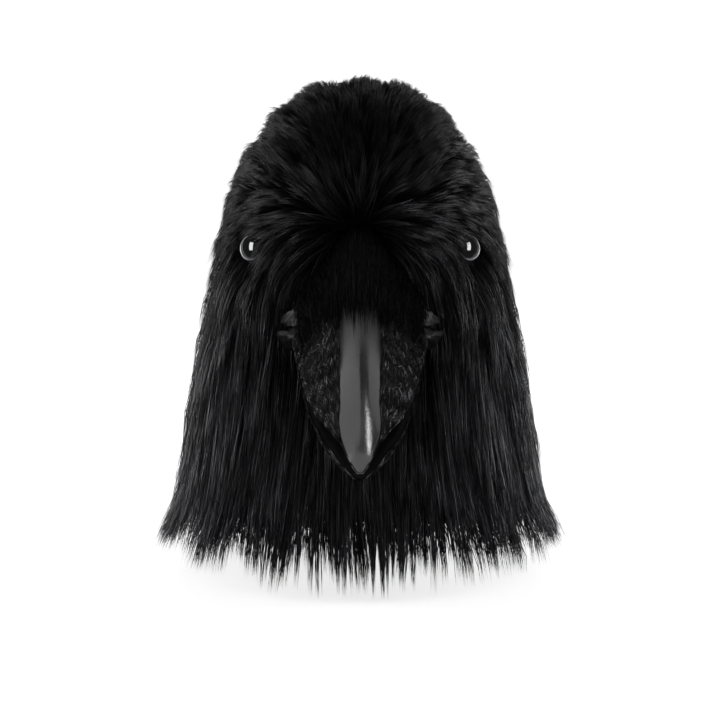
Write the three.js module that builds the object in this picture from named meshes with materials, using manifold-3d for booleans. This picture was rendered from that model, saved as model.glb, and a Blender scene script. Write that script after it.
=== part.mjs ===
// A full-head raven costume mask in black. One hollow latex moulding makes the head and the parted beak.
// Two panels of pile cover it, short on the crown and brow and long in the mane, and two glass eyes sit in
// sockets. Millimetres, +Z up, the beak towards -Y. The mask stands on the longest locks of its mane.

import * as THREE from 'three';
import { mergeVertices } from 'three/addons/utils/BufferGeometryUtils.js';
import Module from 'manifold-3d';

const wasm = await Module();
wasm.setup();

// Outlines of the coat as [distance out from the head's upright axis, height above the floor]
const SIDE_OUTLINE = [
  [0, 436], [35, 432], [68, 415], [95, 381], [113, 346], [123, 310], [128, 275],
  [142, 206], [152, 150], [157, 100], [164, 60], [174, 15], [183, -30],
];
const FRONT_OUTLINE = [
  [0, 436], [36, 431], [70, 413], [98, 381], [115, 342], [121, 306], [117, 270],
  [106, 225], [101, 180], [108, 130], [121, 75], [134, 25], [147, -30],
];
const BACK_OUTLINE = [
  [0, 436], [46, 430], [92, 404], [124, 362], [139, 312], [144, 255], [146, 195],
  [149, 135], [155, 80], [163, 30], [171, -30],
];
const CENTRE_Z = 230; // every outline is seen whole from this height on the axis
const SQUARENESS = 0.3; // how much fuller than an ellipse a level section is
const OUTLINE_STEPS = 240;

// The layers from the coat's outside inwards
const PILE = 20;
const FIT_GAP = 0.4;
const LATEX_WALL = 2.5;
const RIM_Z = 62; // the flat lower rim of the latex
const HEAD_SEGMENTS = 28;
const HEAD_ROWS = 9;

// The parting between the crown and the mane, as an elevation seen from the centre
const PARTING_MEAN = THREE.MathUtils.degToRad(21);
const PARTING_SWING = THREE.MathUtils.degToRad(11);
const PARTING_GAP = THREE.MathUtils.degToRad(0.4);

// The mane: tiers of rounded locks, each ending in a tip
const MANE_LOCKS = 20;
const STEPS_PER_LOCK = 4;
const MANE_TIERS = 3;
const MANE_ROWS = 11;
const MANE_RELIEF = 7;
const HEM_WALL = 6;
const LOCK_DROP = 38; // from the notch between two locks down to their tips
const TIP_VARIETY = 9; // every third lock reaches the floor, the others end up to this much higher
const SIDE_RISE = 14; // the hem is this much higher over the shoulders

// The crown: ridges of short pile that fan out over the head from the root of the beak
const CROWN_RIDGES = 26;
const CROWN_ROWS = 18;
const CROWN_TIERS = 7;
const CROWN_RELIEF = 6;
const BROW_PROUD = 5; // the brow stands this much out over the mane
const BROW_BAND = THREE.MathUtils.degToRad(16);

// The beak. Its lines are [reach forward of the axis, height] at stations from inside the face to the tip.
const UPPER_BEAK = {
  ridge: [[84, 322], [122, 302], [160, 282], [200, 257], [236, 228], [264, 200], [286, 174], [301, 154]],
  edge: [[70, 238], [115, 226], [150, 214], [188, 201], [222, 186], [250, 171], [273, 158], [292, 147]],
  halfWidth: [60, 59, 53.5, 47.5, 41, 31, 18.5, 10.5],
  ridgeHalfWidth: [15.5, 15.5, 15.5, 15.5, 15.3, 15, 13, 8.6],
  tip: [310, 137],
};
const JAW = {
  ridge: [[60, 184], [104, 172], [146, 159], [186, 147], [220, 137], [246, 130.5], [264, 128.5]],
  edge: [[70, 231], [115, 219.5], [150, 205], [188, 188], [222, 171], [248, 157], [266, 146]],
  halfWidth: [58, 56, 51, 45, 37.5, 28, 17],
  ridgeHalfWidth: [17, 17, 15, 13.5, 11, 8.5, 5],
  tip: [281, 131],
};
const BEAK_STEPS = 12;
const LIP_LENGTH = 14; // the swollen pads at the corners of the mouth, as half sizes
const LIP_WIDTH = 9;
const LIP_TURN = THREE.MathUtils.degToRad(20);
const LIPS = [
  { aside: 55, reach: 112, z: 233.5, height: 6.5 },
  { aside: 54, reach: 110, z: 218, height: 5.5 },
];

// The eyes
const EYE = { aside: 92, reach: 84, z: 289, radius: 13.5, dome: 8, back: 4 };
const EYE_TURN = THREE.MathUtils.degToRad(46); // outwards from straight ahead
const EYE_SEGMENTS = 18;
const DOME_RINGS = 4;
const SOCKET = { radius: 17.5, root: 23, depth: 26, lip: 2 };

const BLACK_PILE = new THREE.MeshStandardMaterial({ color: 0x0b0b0d, roughness: 0.85, metalness: 0 });
const BLACK_LATEX = new THREE.MeshStandardMaterial({ color: 0x1c1c1f, roughness: 0.42, metalness: 0 });
const BLACK_GLASS = new THREE.MeshStandardMaterial({ color: 0x050506, roughness: 0.05, metalness: 0 });

const { lerp, smoothstep } = THREE.MathUtils;

// A smooth outline read as its distance from the head's centre at each elevation.
function radial(outline) {
  const spline = new THREE.SplineCurve(outline.map(([out, z]) => new THREE.Vector2(out, z - CENTRE_Z)));
  const points = spline.getPoints(OUTLINE_STEPS);
  const seen = points.map((p) => ({ elevation: Math.atan2(p.y, p.x), distance: p.length() }));
  return (elevation) => {
    const found = seen.findIndex((s) => s.elevation <= elevation);
    const after = found < 0 ? seen.length - 1 : Math.max(1, found);
    const [a, b] = [seen[after - 1], seen[after]];
    return lerp(a.distance, b.distance, (a.elevation - elevation) / (a.elevation - b.elevation));
  };
}
const sideRadius = radial(SIDE_OUTLINE);
const frontRadius = radial(FRONT_OUTLINE);
const backRadius = radial(BACK_OUTLINE);

// How far the smooth coat is from the head's centre. Azimuth 0 faces forward and grows towards +X. A level
// section is a superellipse, which turns into an ellipse at the crown.
function coatDistance(azimuth, elevation) {
  const ahead = Math.cos(azimuth);
  const aside = Math.abs(Math.sin(azimuth));
  const reach = (ahead > 0 ? frontRadius : backRadius)(elevation);
  const power = 2 + SQUARENESS * Math.cos(elevation) ** 2;
  return ((aside / sideRadius(elevation)) ** power + (Math.abs(ahead) / reach) ** power) ** (-1 / power);
}

// The point that far from the head's centre.
function pointAt(azimuth, elevation, distance) {
  const level = distance * Math.cos(elevation);
  return new THREE.Vector3(
    level * Math.sin(azimuth),
    -level * Math.cos(azimuth),
    CENTRE_Z + distance * Math.sin(elevation),
  );
}

function coatPoint(azimuth, elevation) {
  return pointAt(azimuth, elevation, coatDistance(azimuth, elevation));
}

// The coat's outward direction, from the slopes along and across it.
function coatNormal(azimuth, elevation) {
  const step = 0.01;
  if (elevation > Math.PI / 2 - step) return new THREE.Vector3(0, 0, 1);
  const across = coatPoint(azimuth + step, elevation).sub(coatPoint(azimuth - step, elevation));
  const up = coatPoint(azimuth, elevation + step).sub(coatPoint(azimuth, elevation - step));
  return across.cross(up).normalize();
}

// A point that far outside the smooth coat, or inside it where negative.
function layerPoint(azimuth, elevation, outwards) {
  return coatPoint(azimuth, elevation).addScaledVector(coatNormal(azimuth, elevation), outwards);
}

// The elevation at which the coat is at a height, found by halving.
function elevationAt(azimuth, z) {
  let [low, high] = [-Math.PI / 2.6, Math.PI / 2];
  for (let i = 0; i < 24; i++) {
    const middle = (low + high) / 2;
    if (coatPoint(azimuth, middle).z < z) low = middle;
    else high = middle;
  }
  return low;
}

function azimuthAt(step, steps) {
  return (step / steps) * 2 * Math.PI;
}

// The elevation of the parting: high over the brow, low on the nape.
function parting(azimuth) {
  return PARTING_MEAN + PARTING_SWING * Math.cos(azimuth);
}

function middleOf(points) {
  return points.reduce((sum, p) => sum.add(p), new THREE.Vector3()).divideScalar(points.length);
}

// A closed surface through rings of equally many points. It ends in the points first and last, or in fans
// about the middles of its end rings, or joins its last ring to its first where it is looped.
function loft(rings, { first, last, looped = false } = {}) {
  const count = rings[0].length;
  const points = rings.flat();
  const faces = [];
  for (let i = 0; i < rings.length - (looped ? 0 : 1); i++) {
    const next = (i + 1) % rings.length;
    for (let j = 0; j < count; j++) {
      const [a, b] = [i * count + j, i * count + ((j + 1) % count)];
      const [c, d] = [next * count + j, next * count + ((j + 1) % count)];
      faces.push(a, b, d, a, d, c);
    }
  }
  const closeRing = (start, point, turned) => {
    const end = points.push(point) - 1;
    for (let j = 0; j < count; j++) {
      const [a, b] = [start + j, start + ((j + 1) % count)];
      faces.push(...(turned ? [b, a, end] : [a, b, end]));
    }
  };
  if (!looped) {
    closeRing(0, first ?? middleOf(rings[0]), true);
    closeRing((rings.length - 1) * count, last ?? middleOf(rings.at(-1)), false);
  }
  return facedOut(new THREE.BufferGeometry().setFromPoints(points).setIndex(faces));
}

// A closed mesh with its faces turned to face out, told by the sign of the volume that they enclose.
function facedOut(geometry) {
  const index = geometry.index;
  const corner = (i) => new THREE.Vector3().fromBufferAttribute(geometry.attributes.position, index.getX(i));
  let volume = 0;
  for (let i = 0; i < index.count; i += 3) {
    volume += corner(i).dot(corner(i + 1).cross(corner(i + 2)));
  }
  return volume < 0 ? geometry.setIndex([...index.array].reverse()) : geometry;
}

// A three.js geometry as a solid that can be joined and cut.
function solid(geometry, matrix = new THREE.Matrix4()) {
  const bare = geometry.clone().deleteAttribute('normal').deleteAttribute('uv').applyMatrix4(matrix);
  const merged = mergeVertices(bare, 1e-3);
  return new wasm.Manifold(new wasm.Mesh({
    numProp: 3,
    vertProperties: merged.attributes.position.array,
    triVerts: new Uint32Array(merged.index.array),
  }));
}

// A solid as a named mesh.
function part(name, body, material) {
  const { vertProperties, triVerts } = body.getMesh();
  const geometry = new THREE.BufferGeometry();
  geometry.setAttribute('position', new THREE.BufferAttribute(vertProperties, 3));
  geometry.setIndex(new THREE.BufferAttribute(triVerts, 1));
  geometry.computeVertexNormals();
  const mesh = new THREE.Mesh(geometry, material);
  mesh.name = name;
  return mesh;
}

// The head filled up to a layer of its wall, from the crown down past the floor.
function filledHead(outwards) {
  const lowest = -20;
  const rings = [];
  for (let i = 1; i <= HEAD_ROWS; i++) {
    const ring = [];
    for (let j = 0; j < HEAD_SEGMENTS; j++) {
      const azimuth = azimuthAt(j, HEAD_SEGMENTS);
      const elevation = lerp(Math.PI / 2, elevationAt(azimuth, lowest), i / HEAD_ROWS);
      ring.push(layerPoint(azimuth, elevation, outwards));
    }
    rings.push(ring);
  }
  return solid(loft(rings, { first: layerPoint(0, Math.PI / 2, outwards) }));
}

// Everything below the latex's rim, to cut it off flat.
function belowRim() {
  const size = 600;
  const box = new THREE.BoxGeometry(size, size, size);
  return solid(box, new THREE.Matrix4().makeTranslation(0, 0, RIM_Z - size / 2));
}

// Half of a beak section from its ridge to its cutting edge and back to the middle, as [share of the
// ridge's half width, share of the half width beyond it, share of the height]. The upper beak has a bare
// rounded ridge, a crease beside it and flanks that swell down to the edge. The jaw is upside down, with a
// blunt keel for a ridge.
UPPER_BEAK.section = [
  [0, 0, 1], [0.45, 0, 0.985], [0.8, 0, 0.93], [1, 0, 0.84], [1, 0.2, 0.69], [1, 0.48, 0.5],
  [1, 0.78, 0.26], [1, 0.95, 0.09], [1, 1, 0], [0.6, 0.55, 0.03], [0, 0, 0.05],
];
JAW.section = [
  [0, 0, 1], [0.55, 0, 0.98], [1, 0, 0.9], [1, 0.4, 0.74], [1, 0.78, 0.48], [1, 0.95, 0.22], [1, 1, 0],
  [0.6, 0.55, 0.05], [0, 0, 0.08],
];

// A clockwise outline in the plane, moved inwards by a distance, or outwards where negative. Sharp corners
// move less than a full mitre would.
function movedIn(outline, distance) {
  const count = outline.length;
  const towards = (from, to) => outline[to % count].clone().sub(outline[from % count]).normalize();
  const rightOf = (v) => new THREE.Vector2(v.y, -v.x);
  return outline.map((point, i) => {
    const after = towards(i, i + 1);
    const inwards = rightOf(towards(i + count - 1, i).add(after)).normalize();
    const lean = Math.max(0.7, inwards.dot(rightOf(after)));
    return point.clone().addScaledVector(inwards, distance / lean);
  });
}

// A beak half, lofted between its ridge line and its cutting edge and rounded into its tip. Moved in by the
// wall's thickness it is the hollow, which ends where the tip is too slim to hold it.
function beakHalf({ ridge, edge, halfWidth, ridgeHalfWidth, tip, section }, inset) {
  const inPlace = ([reach, z]) => new THREE.Vector3(0, -reach, z);
  const line = (stations) => new THREE.CatmullRomCurve3([...stations, tip].map(inPlace));
  const atStation = (value, station) => new THREE.Vector2(station, value);
  const size = (values) => new THREE.SplineCurve([...values, 0].map(atStation));
  const [ridgeLine, edgeLine] = [line(ridge), line(edge)];
  const [widthLine, ridgeWidthLine] = [size(halfWidth), size(ridgeHalfWidth)];
  const rings = [];
  for (let i = 0; i < BEAK_STEPS; i++) {
    const t = Math.sin((i / BEAK_STEPS) * (Math.PI / 2)) ** 0.9;
    const low = edgeLine.getPoint(t);
    const rise = ridgeLine.getPoint(t).sub(low);
    const tall = rise.length();
    const width = widthLine.getPoint(t).y;
    if (Math.min(width, tall / 2) < 3 * inset) break;
    const ridgeWidth = Math.min(ridgeWidthLine.getPoint(t).y, width * 0.85);
    const half = section.map(([onRidge, beyond, height]) => new THREE.Vector2(
      ridgeWidth * onRidge + (width - ridgeWidth) * beyond,
      tall * height,
    ));
    const mirrored = half.slice(1, -1).reverse().map((p) => new THREE.Vector2(-p.x, p.y));
    const outline = movedIn([...half, ...mirrored], inset);
    rings.push(outline.map((p) => low.clone().addScaledVector(rise, p.y / tall).setX(p.x)));
  }
  const end = inset > 0 ? middleOf(rings.at(-1)) : inPlace(tip);
  return solid(loft(rings, { last: end }));
}

// The beak without its hollow, grown by a margin: both halves and the swollen pads at the corners of the
// mouth.
function solidBeak(margin) {
  const ball = new THREE.SphereGeometry(1, 10, 8);
  let beak = beakHalf(UPPER_BEAK, -margin).add(beakHalf(JAW, -margin));
  for (const { aside, reach, z, height } of LIPS)
    for (const side of [1, -1]) {
      const place = new THREE.Vector3(side * aside, -reach, z);
      const turn = new THREE.Quaternion().setFromEuler(new THREE.Euler(0, 0, side * LIP_TURN));
      const size = new THREE.Vector3(LIP_WIDTH + margin, LIP_LENGTH + margin, height + margin);
      beak = beak.add(solid(ball, new THREE.Matrix4().compose(place, turn, size)));
    }
  return beak;
}

// A frame whose +Y points out of the eye on one side of the head.
function eyeFrame(side) {
  const out = new THREE.Vector3(side * Math.sin(EYE_TURN), -Math.cos(EYE_TURN), 0);
  const turn = new THREE.Quaternion().setFromUnitVectors(new THREE.Vector3(0, 1, 0), out);
  const place = new THREE.Vector3(side * EYE.aside, -EYE.reach, EYE.z);
  return new THREE.Matrix4().compose(place, turn, new THREE.Vector3(1, 1, 1));
}

// A turned shape about the eye's axis, from [radius, height] points.
function turned(points) {
  return new THREE.LatheGeometry(points.map(([radius, y]) => new THREE.Vector2(radius, y)), EYE_SEGMENTS);
}

// A turned shape in both eyes' places, as one solid.
function inBothEyes(points) {
  return solid(turned(points), eyeFrame(1)).add(solid(turned(points), eyeFrame(-1)));
}

// The glass eye: a disc with a domed face, which is a cap of a sphere.
function glassEye() {
  const curve = (EYE.radius ** 2 + EYE.dome ** 2) / (2 * EYE.dome);
  const spread = Math.asin(EYE.radius / curve);
  const dome = [];
  for (let i = 0; i <= DOME_RINGS; i++) {
    const angle = spread * (1 - i / DOME_RINGS);
    dome.push([curve * Math.sin(angle), EYE.dome - curve * (1 - Math.cos(angle))]);
  }
  return turned([[0, -EYE.back], [EYE.radius, -EYE.back], ...dome]);
}

// The socket's boss, from inside the head to a lip round the glass, and the hollow behind its floor.
const socketBoss = [
  [0, -SOCKET.depth], [SOCKET.root, -SOCKET.depth], [SOCKET.radius, -SOCKET.lip],
  [SOCKET.radius - 1, SOCKET.lip], [0, SOCKET.lip],
];
const socketFloor = -EYE.back - FIT_GAP - LATEX_WALL;
const socketHollow = [
  [0, -SOCKET.depth], [SOCKET.root - LATEX_WALL, -SOCKET.depth], [SOCKET.radius - LATEX_WALL, socketFloor],
  [0, socketFloor],
];
const eyeSeat = [
  [0, -EYE.back - FIT_GAP], [EYE.radius + FIT_GAP, -EYE.back - FIT_GAP], [EYE.radius + FIT_GAP, EYE.dome],
  [0, EYE.dome],
];
const eyeOpening = [
  [0, -SOCKET.depth - FIT_GAP], [SOCKET.root + FIT_GAP, -SOCKET.depth - FIT_GAP],
  [SOCKET.radius + FIT_GAP, -SOCKET.lip], [SOCKET.radius + 2, EYE.dome * 4], [0, EYE.dome * 4],
];

// How far the hem is above the floor, the same on both sides of the head. The step counts round the hem
// from the front, and the hem rises from each lock's tip to the notches beside it.
function hemHeight(step) {
  const fromFront = Math.min(step, MANE_LOCKS * STEPS_PER_LOCK - step) / STEPS_PER_LOCK;
  const lock = Math.round(fromFront);
  const side = Math.abs(Math.sin(azimuthAt(fromFront, MANE_LOCKS)));
  const shorter = ((lock + 1) % 3) * (TIP_VARIETY / 2);
  const fromTip = Math.abs(fromFront - lock) * 2;
  return SIDE_RISE * smoothstep(side, 0.6, 1) + shorter * (1 - fromTip) + LOCK_DROP * fromTip ** 1.3;
}

// How far the mane's outside stands out from the smooth coat. Each lock is a rounded ridge that swells
// towards the end of its tier, and neighbouring locks' tiers are staggered.
function maneRelief(step, along) {
  const lock = Math.round(step / STEPS_PER_LOCK);
  const ridge = Math.cos((step / STEPS_PER_LOCK - lock) * Math.PI);
  const tier = (along * MANE_TIERS + (lock % 2) / 2) % 1;
  const swell = 0.35 + 0.65 * tier;
  const settled = smoothstep(along, 0, 0.15) * (1 - 0.6 * smoothstep(along, 0.85, 1));
  return MANE_RELIEF * (ridge * swell - 0.5) * settled;
}

// The mane, from the parting down to the hem and back up inside. It is thin below the latex's rim, and
// above the rim it reaches in past the latex, whose room is cut out of it.
function mane() {
  const steps = MANE_LOCKS * STEPS_PER_LOCK;
  const outside = Array.from({ length: MANE_ROWS }, () => []);
  const inside = Array.from({ length: 4 }, () => []);
  for (let step = 0; step < steps; step++) {
    const azimuth = azimuthAt(step, steps);
    const top = parting(azimuth) - PARTING_GAP;
    const topZ = coatPoint(azimuth, top).z;
    const hemZ = hemHeight(step);
    outside.forEach((ring, row) => {
      const along = row / (MANE_ROWS - 1);
      const elevation = row ? elevationAt(azimuth, lerp(topZ, hemZ, along)) : top;
      ring.push(layerPoint(azimuth, elevation, maneRelief(step, along)));
    });
    inside[0].push(layerPoint(azimuth, elevationAt(azimuth, hemZ), -HEM_WALL));
    inside[1].push(layerPoint(azimuth, elevationAt(azimuth, RIM_Z - 22), -HEM_WALL * 1.8));
    inside[2].push(layerPoint(azimuth, elevationAt(azimuth, RIM_Z + 12), -PILE * 1.3));
    inside[3].push(pointAt(azimuth, top, coatDistance(azimuth, top) - PILE * 1.7));
    outside.at(-1)[step].z = hemZ;
    inside[0][step].z = hemZ;
  }
  return solid(loft([...outside, ...inside], { looped: true }));
}

// Everything above the parting, as a cone from the head's centre.
function aboveParting() {
  const far = 400;
  const segments = HEAD_SEGMENTS * 2;
  const low = [];
  const high = [];
  for (let j = 0; j < segments; j++) {
    const azimuth = azimuthAt(j, segments);
    low.push(pointAt(azimuth, parting(azimuth), far));
    high.push(pointAt(azimuth, Math.PI / 3, far));
  }
  return solid(loft([low, high], { first: pointAt(0, 0, 0), last: pointAt(0, Math.PI / 2, far) }));
}

// The crown's outside in a direction from the head's centre, that far inside the coat. The brow stands
// proud.
function crownPoint(direction, depth) {
  const azimuth = Math.atan2(direction.x, -direction.y);
  const elevation = Math.max(0, Math.asin(direction.z));
  const nearEdge = 1 - smoothstep(elevation - parting(azimuth), 0, BROW_BAND);
  const brow = BROW_PROUD * nearEdge * smoothstep(Math.cos(azimuth), -0.5, 0.4);
  const distance = coatDistance(azimuth, elevation) + brow - depth;
  return direction.clone().multiplyScalar(distance).add(new THREE.Vector3(0, 0, CENTRE_Z));
}

// The crown: a cap of short pile down to the parting. Its rings run round the root of the beak, and its
// ridges fan out from there and swell towards the end of each tier.
function crown() {
  const [rootReach, rootZ] = UPPER_BEAK.ridge[1];
  const root = new THREE.Vector3(0, -rootReach, rootZ - CENTRE_Z).normalize();
  const above = new THREE.Vector3(0, root.z, -root.y);
  const columns = CROWN_RIDGES * 2;
  const rings = [];
  for (let row = 1; row < CROWN_ROWS; row++) {
    const fromRoot = (row / CROWN_ROWS) * Math.PI;
    const settled = smoothstep(Math.sin(fromRoot), 0.1, 0.6);
    const ring = [];
    for (let column = 0; column < columns; column++) {
      const turn = azimuthAt(column, columns);
      const direction = root.clone().multiplyScalar(Math.cos(fromRoot));
      direction.addScaledVector(above, Math.sin(fromRoot) * Math.cos(turn));
      direction.x = Math.sin(fromRoot) * Math.sin(turn);
      const tier = ((row / CROWN_ROWS) * CROWN_TIERS + (column % 4) / 4) % 1;
      const depth = column % 2 ? 1 : 0.25 * (1 - tier);
      ring.push(crownPoint(direction, CROWN_RELIEF * depth * settled));
    }
    rings.push(ring);
  }
  const cap = loft(rings, { first: crownPoint(root, 0), last: crownPoint(root.clone().negate(), 0) });
  return solid(cap).intersect(aboveParting());
}

const latexDepth = PILE + FIT_GAP;
const latexHead = filledHead(-latexDepth)
  .add(solidBeak(0))
  .add(inBothEyes(socketBoss))
  .subtract(filledHead(-latexDepth - LATEX_WALL))
  .subtract(beakHalf(UPPER_BEAK, LATEX_WALL))
  .subtract(beakHalf(JAW, LATEX_WALL))
  .subtract(inBothEyes(eyeSeat))
  .subtract(inBothEyes(socketHollow))
  .subtract(belowRim());

// What the pile panels leave free: the head under them, the beak and the eyes
const free = filledHead(-PILE).add(solidBeak(FIT_GAP)).add(inBothEyes(eyeOpening));

const mask = new THREE.Group();
mask.add(part('latex_head', latexHead, BLACK_LATEX));
mask.add(part('crown_fur', crown().subtract(free), BLACK_PILE));
mask.add(part('mane_fur', mane().subtract(free), BLACK_PILE));
for (const [name, side] of [['left_eye', 1], ['right_eye', -1]]) {
  const eye = new THREE.Mesh(glassEye(), BLACK_GLASS);
  eye.name = name;
  eye.applyMatrix4(eyeFrame(side));
  mask.add(eye);
}

// The origin is on the floor, in the middle of the space that the mask takes
const space = new THREE.Box3().setFromObject(mask);
mask.position.set(0, -(space.min.y + space.max.y) / 2, -space.min.z);

export default mask;
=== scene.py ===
"""The looks of the raven costume mask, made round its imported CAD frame."""

from math import asin, cos, pi, radians, sin, sqrt

import bmesh
import bpy
import numpy as np
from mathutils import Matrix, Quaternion, Vector


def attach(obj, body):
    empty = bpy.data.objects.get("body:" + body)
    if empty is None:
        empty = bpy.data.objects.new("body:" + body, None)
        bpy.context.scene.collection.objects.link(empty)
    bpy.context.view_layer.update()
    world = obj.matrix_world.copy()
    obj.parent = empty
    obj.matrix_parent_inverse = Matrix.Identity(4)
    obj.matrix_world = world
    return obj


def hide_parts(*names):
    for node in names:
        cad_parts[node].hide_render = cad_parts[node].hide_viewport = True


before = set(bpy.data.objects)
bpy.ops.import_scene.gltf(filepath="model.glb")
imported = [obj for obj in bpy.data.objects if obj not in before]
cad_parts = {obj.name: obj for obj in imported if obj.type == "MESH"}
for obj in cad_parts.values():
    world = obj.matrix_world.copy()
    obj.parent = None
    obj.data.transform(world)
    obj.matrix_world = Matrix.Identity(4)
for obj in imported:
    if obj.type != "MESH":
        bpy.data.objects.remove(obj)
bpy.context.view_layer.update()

MM = 0.001
HEAD_AXIS = np.array([0.0, 72.258, 0.0])  # the head's axis in the row frame, mm
PHOTO_SIDE = 720
SIDES = ("left", 1), ("right", -1)

# The coat's outlines on the head's axis, as [distance out, height], mm
SIDE_OUTLINE = [
    [0, 436], [35, 432], [68, 415], [95, 381], [113, 346], [123, 310], [128, 275],
    [142, 206], [152, 150], [157, 100], [164, 60], [174, 15], [183, -30],
]
FRONT_OUTLINE = [
    [0, 436], [36, 431], [70, 413], [98, 381], [115, 342], [121, 306], [117, 270],
    [106, 225], [101, 180], [108, 130], [121, 75], [134, 25], [147, -30],
]
BACK_OUTLINE = [
    [0, 436], [46, 430], [92, 404], [124, 362], [139, 312], [144, 255], [146, 195],
    [149, 135], [155, 80], [163, 30], [171, -30],
]
CENTRE = np.array([0.0, 0.0, 230.0])
SQUARENESS = 0.3
OUTLINE_STEPS = 400

PARTING_MEAN, PARTING_SWING = np.radians([21.0, 11.0])
PARTING_RAGGED = 0.06
HEM_LOCKS, HEM_TOP, HEM_FLARE = 140, 74.0, 8.0
MANE_LOCKS, MANE_TIERS, MANE_RELIEF = 20, 3, 7.0
CROWN_RIDGES, CROWN_RELIEF = 26, 6.0
BROW_PROUD, BROW_BAND = 5.0, radians(16)
RIM_Z, WOOL_Z = 62.0, 62.0
ROOT_DEPTH = 12.5  # below the coat
WOOL_OUTSIDE, WOOL_INSIDE = 11.5, 19.4  # below the coat
LID, BROW_OVER = 12.7, 4.6
SOCKET_DEPTH, SOCKET_PROUD = 14, 30  # how far in and out of the head a lid parts the pile
HEM_RAGGED = 12  # the mean height of the strands' ends over their lock's
FLOOR_CLEARANCE, SHORTEST_LEFT = 0.5, 0.35

# The beak's halves, as [reach, height] lines and half widths, mm
UPPER_BEAK = {
    "ridge": [[84, 322], [122, 302], [160, 282], [200, 257], [236, 228], [264, 200], [286, 174], [301, 154]],
    "edge": [[70, 238], [115, 226], [150, 214], [188, 201], [222, 186], [250, 172], [276, 163], [297, 151.5]],
    "half_width": [60, 59, 53.5, 47.5, 41, 31, 18.5, 10],
    "ridge_half_width": [15.5, 15.5, 15.5, 15.5, 15.3, 15, 13, 8.6],
    "bare_half_width": [9, 9.5, 10.5, 12, 14, 16, 17, 14],
    "tip": [309, 140.5],
    "shoulder": 0.84,
    "blunt": [0.66, 0.84],
    "section": [[0, 0, 1], [0.25, 0, 0.991], [0.5, 0, 0.965], [0.75, 0, 0.917], [0.9, 0, 0.875],
                [1, 0, 0.84], [1, 0.1, 0.765], [1, 0.24, 0.67], [1, 0.48, 0.5], [1, 0.78, 0.26],
                [1, 0.95, 0.09], [1, 1, 0]],
    "palate": [[1, 1, 0], [0.6, 0.55, 0.03], [0, 0, 0.05]],
}
JAW = {
    "ridge": [[60, 184], [104, 172], [146, 159], [186, 147], [220, 137], [246, 130.5], [264, 128.5]],
    "edge": [[70, 231], [115, 219.5], [150, 205], [188, 188], [222, 171], [248, 157], [266, 146]],
    "half_width": [58, 56, 51, 45, 37.5, 28, 17],
    "ridge_half_width": [17, 17, 15, 13.5, 11, 8.5, 5],
    "bare_half_width": [8, 8, 8, 8, 8, 7, 5],
    "tip": [281, 131],
    "shoulder": 0.9,
    "blunt": [2, 3],
    "section": [[0, 0, 1], [0.55, 0, 0.98], [1, 0, 0.9], [1, 0.4, 0.74], [1, 0.78, 0.48], [1, 0.95, 0.22],
                [1, 1, 0]],
    "palate": [[1, 1, 0], [0.6, 0.55, 0.05], [0, 0, 0.08]],
}
MOULDING_SUNK, SKIN_WALL, UPPER_PROUD, JAW_PROUD = 1.5, 1.2, 0.5, 0.4
LEAVES_COAT = 116, 126  # the reaches over which the beak comes out of the coat
DRAWN_BACK_FROM, DRAWN_BACK = 200, 0.2  # where the moulding's tips draw back, and by what share
LIP_HALF_LENGTH, LIP_HALF_WIDTH, LIP_TURN = 21.0, 8.6, radians(-24)
LIPS = [("upper", 54.0, 121.0, 231.5, 7.6), ("lower", 57.0, 123.0, 221.0, 8.4)]
EYE_ASIDE, EYE_REACH, EYE_Z = 92.0, 84.0, 291.7
EYE_BACK, GLASS_RADIUS, GLASS_HEIGHT = 4.0, 9.7, 5.6
EYE_TURN = radians(46)
LID_LOW_CORNER = radians(25)

BEAK_ROOT = np.array([0.0, -122.0, 72.0])
BEAK_ROOT = BEAK_ROOT / np.linalg.norm(BEAK_ROOT)


# Shapes

def unit(vectors):
    """The same directions with a length of one."""
    return vectors / np.maximum(np.linalg.norm(vectors, axis=-1, keepdims=True), 1e-9)


def smoothstep(values, low, high):
    """3t^2 - 2t^3, where t is how far a value is from low to high, held between 0 and 1."""
    t = np.clip((values - low) / (high - low), 0, 1)
    return t * t * (3 - 2 * t)


def spline(points, along, by_chord=False):
    """A Catmull-Rom curve at shares of its run: each stretch is the cubic that passes its ends along the
    lines between their neighbours. By chord, a stretch is as long as the root of its chord, so that it
    doesn't overshoot, and the curve's ends go on straight instead of being doubled."""
    points = np.asarray(points, float)
    first, last = points[:1], points[-1:]
    if by_chord:
        first, last = 2 * first - points[1:2], 2 * last - points[-2:-1]
    padded = np.vstack([first, points, last])
    t = np.asarray(along) * (len(points) - 1)
    i = np.minimum(t.astype(int), len(points) - 2)
    f = (t - i)[:, None]
    a, b, c, d = (padded[i + k] for k in range(4))
    ab, bc, cd = (
        np.sqrt(np.linalg.norm(q - p, axis=1, keepdims=True)) if by_chord else 1
        for p, q in ((a, b), (b, c), (c, d)))
    leave = ((b - a) / ab - (c - a) / (ab + bc) + (c - b) / bc) * bc
    arrive = ((c - b) / bc - (d - b) / (bc + cd) + (d - c) / cd) * bc
    return b + leave * f + (3 * (c - b) - 2 * leave - arrive) * f**2 + (2 * (b - c) + leave + arrive) * f**3


def seen_from_centre(outline):
    """An outline's elevations from the centre and its distances there, in rising order."""
    curve = spline(np.array(outline, float) - [0, CENTRE[2]], np.linspace(0, 1, OUTLINE_STEPS))
    return np.arctan2(curve[::-1, 1], curve[::-1, 0]), np.linalg.norm(curve[::-1], axis=1)


SIDE_SEEN, FRONT_SEEN, BACK_SEEN = (seen_from_centre(o) for o in (SIDE_OUTLINE, FRONT_OUTLINE, BACK_OUTLINE))


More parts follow.
